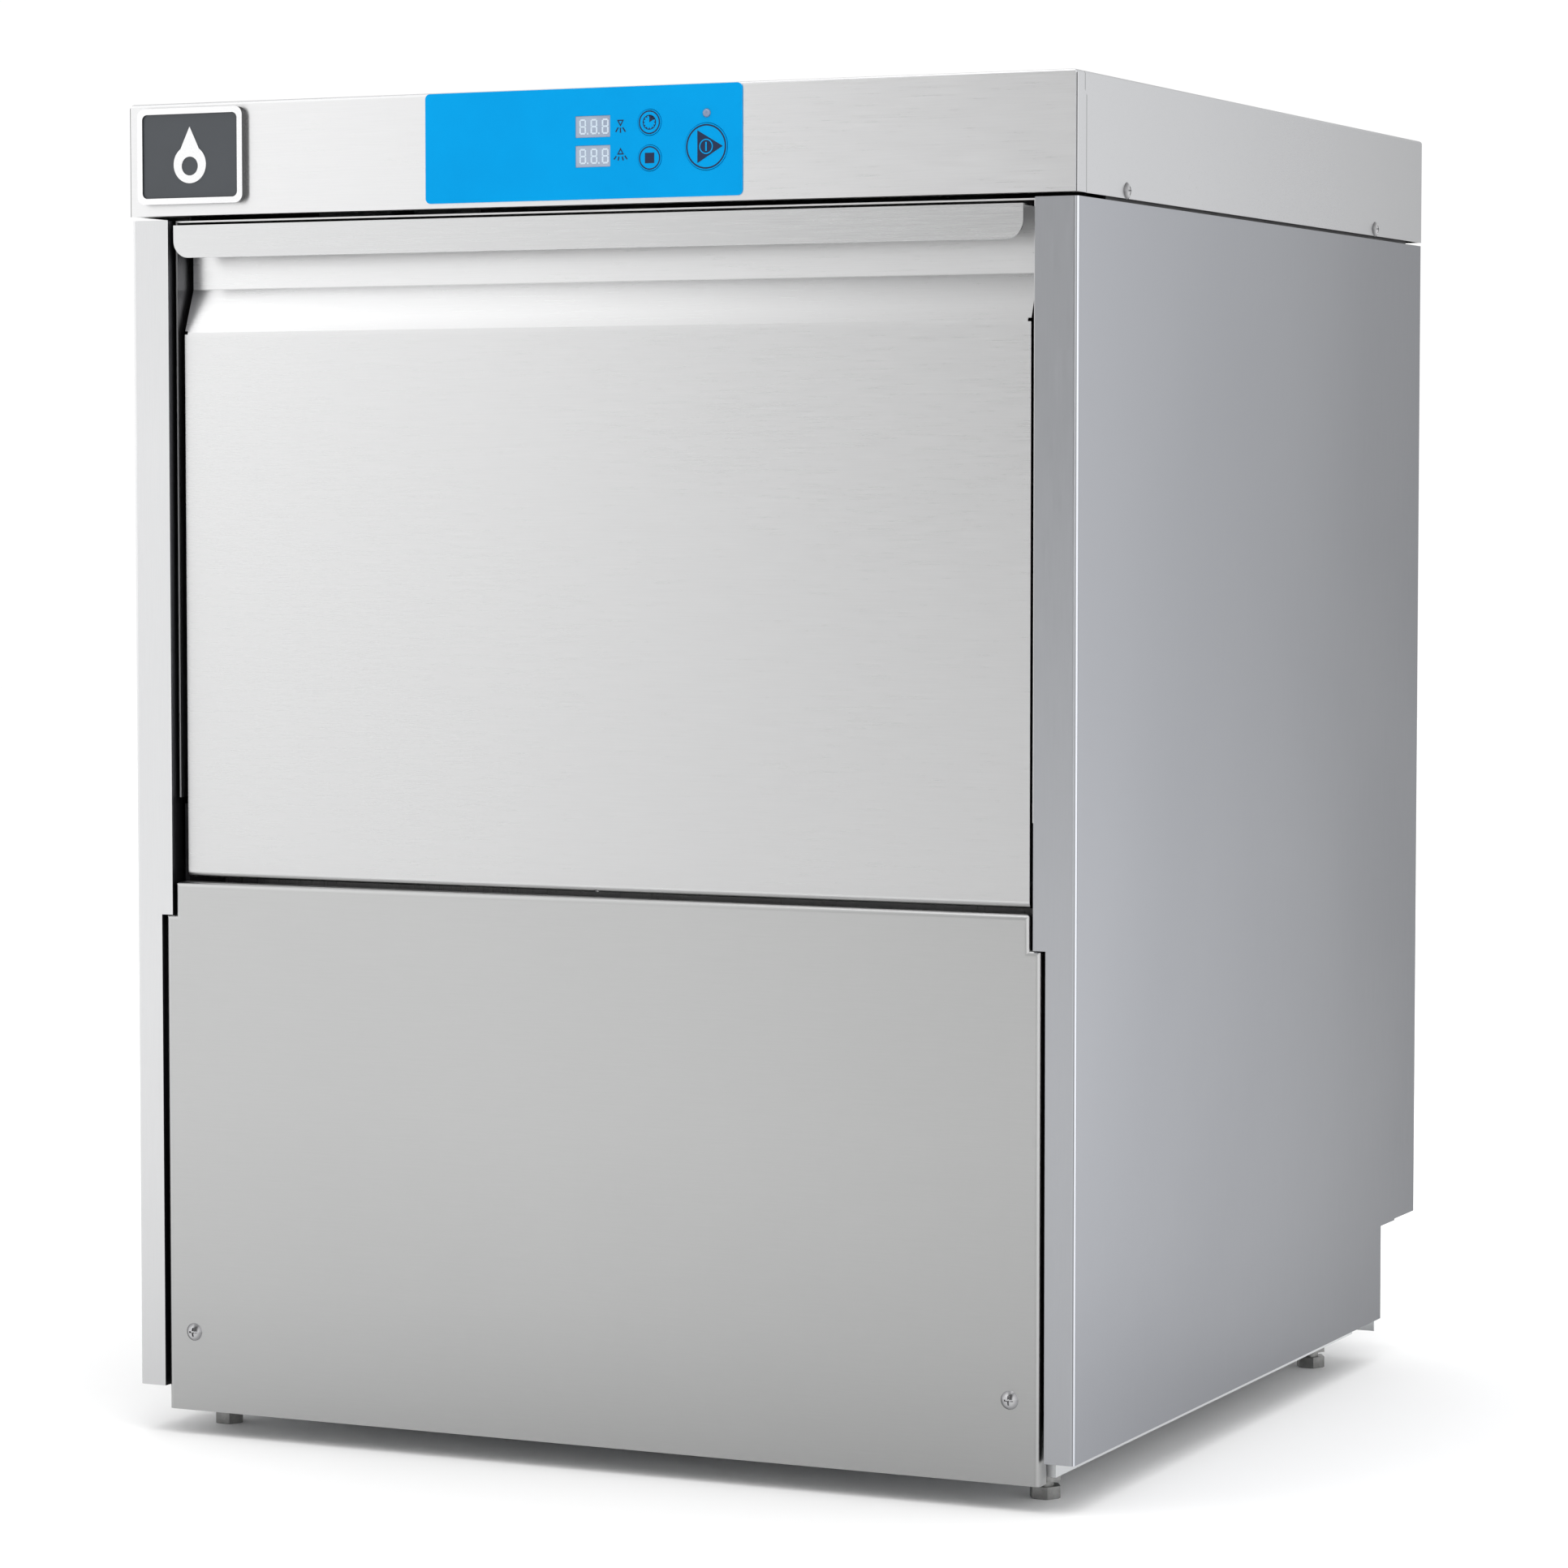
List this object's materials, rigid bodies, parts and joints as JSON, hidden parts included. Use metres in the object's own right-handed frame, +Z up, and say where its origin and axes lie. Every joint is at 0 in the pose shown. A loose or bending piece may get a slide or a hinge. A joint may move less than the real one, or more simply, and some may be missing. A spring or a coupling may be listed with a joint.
{
  "type": "undercounter commercial glass washer",
  "caption": "Stainless undercounter glass washer: drop-down door with full-width lip handle, blue control membrane, rotating wash and rinse arms, sump and pump below.",
  "frame": {"origin": "centre of the footprint of the whole machine, on the floor under its feet", "axes": "+Z up, front (door and controls) faces -Y, +X to the right of a person facing the door"},
  "size_m": [0.6024, 0.616, 0.7885],
  "materials": {
    "brushed_cover_steel": "satin brushed",
    "brushed_side_steel": "satin brushed",
    "plain_sheet_steel": "mill finish",
    "chamber_steel": "satin",
    "screw_chrome": "bright",
    "dark_zinc_steel": "dull dark zinc",
    "blue_membrane": "semi-gloss printed film",
    "display_window": "smooth grey",
    "display_segments": "unlit segments",
    "led_lens": "dark lens",
    "circuit_board": "satin",
    "badge_dark": "satin dark",
    "black_rubber": "matt",
    "black_plastic": "matt",
    "motor_paint": "semi-gloss",
    "blue_plastic": "satin",
    "grey_plastic": "satin",
    "valve_brass": "cast"
  },
  "bodies": {
    "cabinet": {"top_cover": "brushed_cover_steel", "side_panel_left": "brushed_side_steel", "side_panel_right": "brushed_side_steel", "lower_front_panel": "brushed_cover_steel", "rear_panel": "brushed_side_steel", "connection_plate": "plain_sheet_steel", "base_tray": "plain_sheet_steel", "chassis_posts": "plain_sheet_steel", "top_rails": "plain_sheet_steel", "sheet_screws": "screw_chrome", "front_panel_screws": "screw_chrome", "levelling_feet": "dark_zinc_steel", "foot_lock_nuts": "dark_zinc_steel", "control_membrane": "blue_membrane", "display_modules": "display_window", "display_digits": "display_segments", "status_led": "led_lens", "control_board": "circuit_board", "badge_rim": "screw_chrome", "badge_field": "badge_dark", "badge_emblem": "screw_chrome", "wash_chamber": "chamber_steel", "chamber_front_frame": "plain_sheet_steel", "door_gasket": "black_rubber", "rack_rails": "chamber_steel", "rack_base": "blue_plastic", "rack_walls": "blue_plastic", "sump": "chamber_steel", "sump_screen": "chamber_steel", "sump_filter": "chamber_steel", "overflow_pipe": "blue_plastic", "wash_heater": "dark_zinc_steel", "lower_spray_post": "chamber_steel", "upper_spray_post": "chamber_steel", "wash_pump_housing": "black_plastic", "pump_motor": "motor_paint", "suction_hose": "black_rubber", "wash_riser": "black_rubber", "drain_pipe": "grey_plastic", "rinse_boiler": "chamber_steel", "boiler_heater": "dark_zinc_steel", "rinse_pipes": "chamber_steel", "inlet_valve": "valve_brass", "cable_gland": "black_plastic", "electrical_unit": "grey_plastic", "hinge_brackets": "plain_sheet_steel"},
    "door": {"door_skin": "brushed_cover_steel", "door_inner_panel": "chamber_steel", "door_handle_lip": "brushed_cover_steel", "door_hinge_plates": "plain_sheet_steel", "door_hinge_pins": "chamber_steel", "door_springs": "dark_zinc_steel"},
    "function_button": {"function_button": "blue_membrane"},
    "off_button": {"off_button": "blue_membrane"},
    "start_button": {"start_button": "blue_membrane"},
    "lower_wash_arm": {"lower_wash_arm": "chamber_steel"},
    "lower_rinse_arm": {"lower_rinse_arm": "chamber_steel"},
    "upper_wash_arm": {"upper_wash_arm": "chamber_steel"},
    "upper_rinse_arm": {"upper_rinse_arm": "chamber_steel"},
    "pump_impeller": {"pump_impeller": "black_plastic"}
  },
  "joints": [
    {"name": "door_hinge", "type": "hinge", "parent": "cabinet", "child": "door", "pos_m": [0, -0.2805, 0.346], "axis": [1, 0, 0], "range_deg": [0, 90], "stiffness_Nm_per_rad": 3.2},
    {"name": "function_button_press", "type": "slide", "parent": "cabinet", "child": "function_button", "axis": [0, 1, 0], "range_m": [0, 0.0008], "stiffness_N_per_m": 500},
    {"name": "off_button_press", "type": "slide", "parent": "cabinet", "child": "off_button", "axis": [0, 1, 0], "range_m": [0, 0.0008], "stiffness_N_per_m": 500},
    {"name": "start_button_press", "type": "slide", "parent": "cabinet", "child": "start_button", "axis": [0, 1, 0], "range_m": [0, 0.0008], "stiffness_N_per_m": 500},
    {"name": "lower_wash_arm_spin", "type": "hinge", "parent": "cabinet", "child": "lower_wash_arm", "pos_m": [0, 0.0095, 0.344], "axis": [0, 0, 1], "continuous": true},
    {"name": "lower_rinse_arm_spin", "type": "hinge", "parent": "cabinet", "child": "lower_rinse_arm", "pos_m": [0, 0.0095, 0.358], "axis": [0, 0, 1], "continuous": true},
    {"name": "upper_wash_arm_spin", "type": "hinge", "parent": "cabinet", "child": "upper_wash_arm", "pos_m": [0, 0.0095, 0.668], "axis": [0, 0, 1], "continuous": true},
    {"name": "upper_rinse_arm_spin", "type": "hinge", "parent": "cabinet", "child": "upper_rinse_arm", "pos_m": [0, 0.0095, 0.654], "axis": [0, 0, 1], "continuous": true},
    {"name": "pump_impeller_spin", "type": "hinge", "parent": "cabinet", "child": "pump_impeller", "pos_m": [-0.04, -0.0405, 0.14], "axis": [0, 1, 0], "continuous": true}
  ]
}
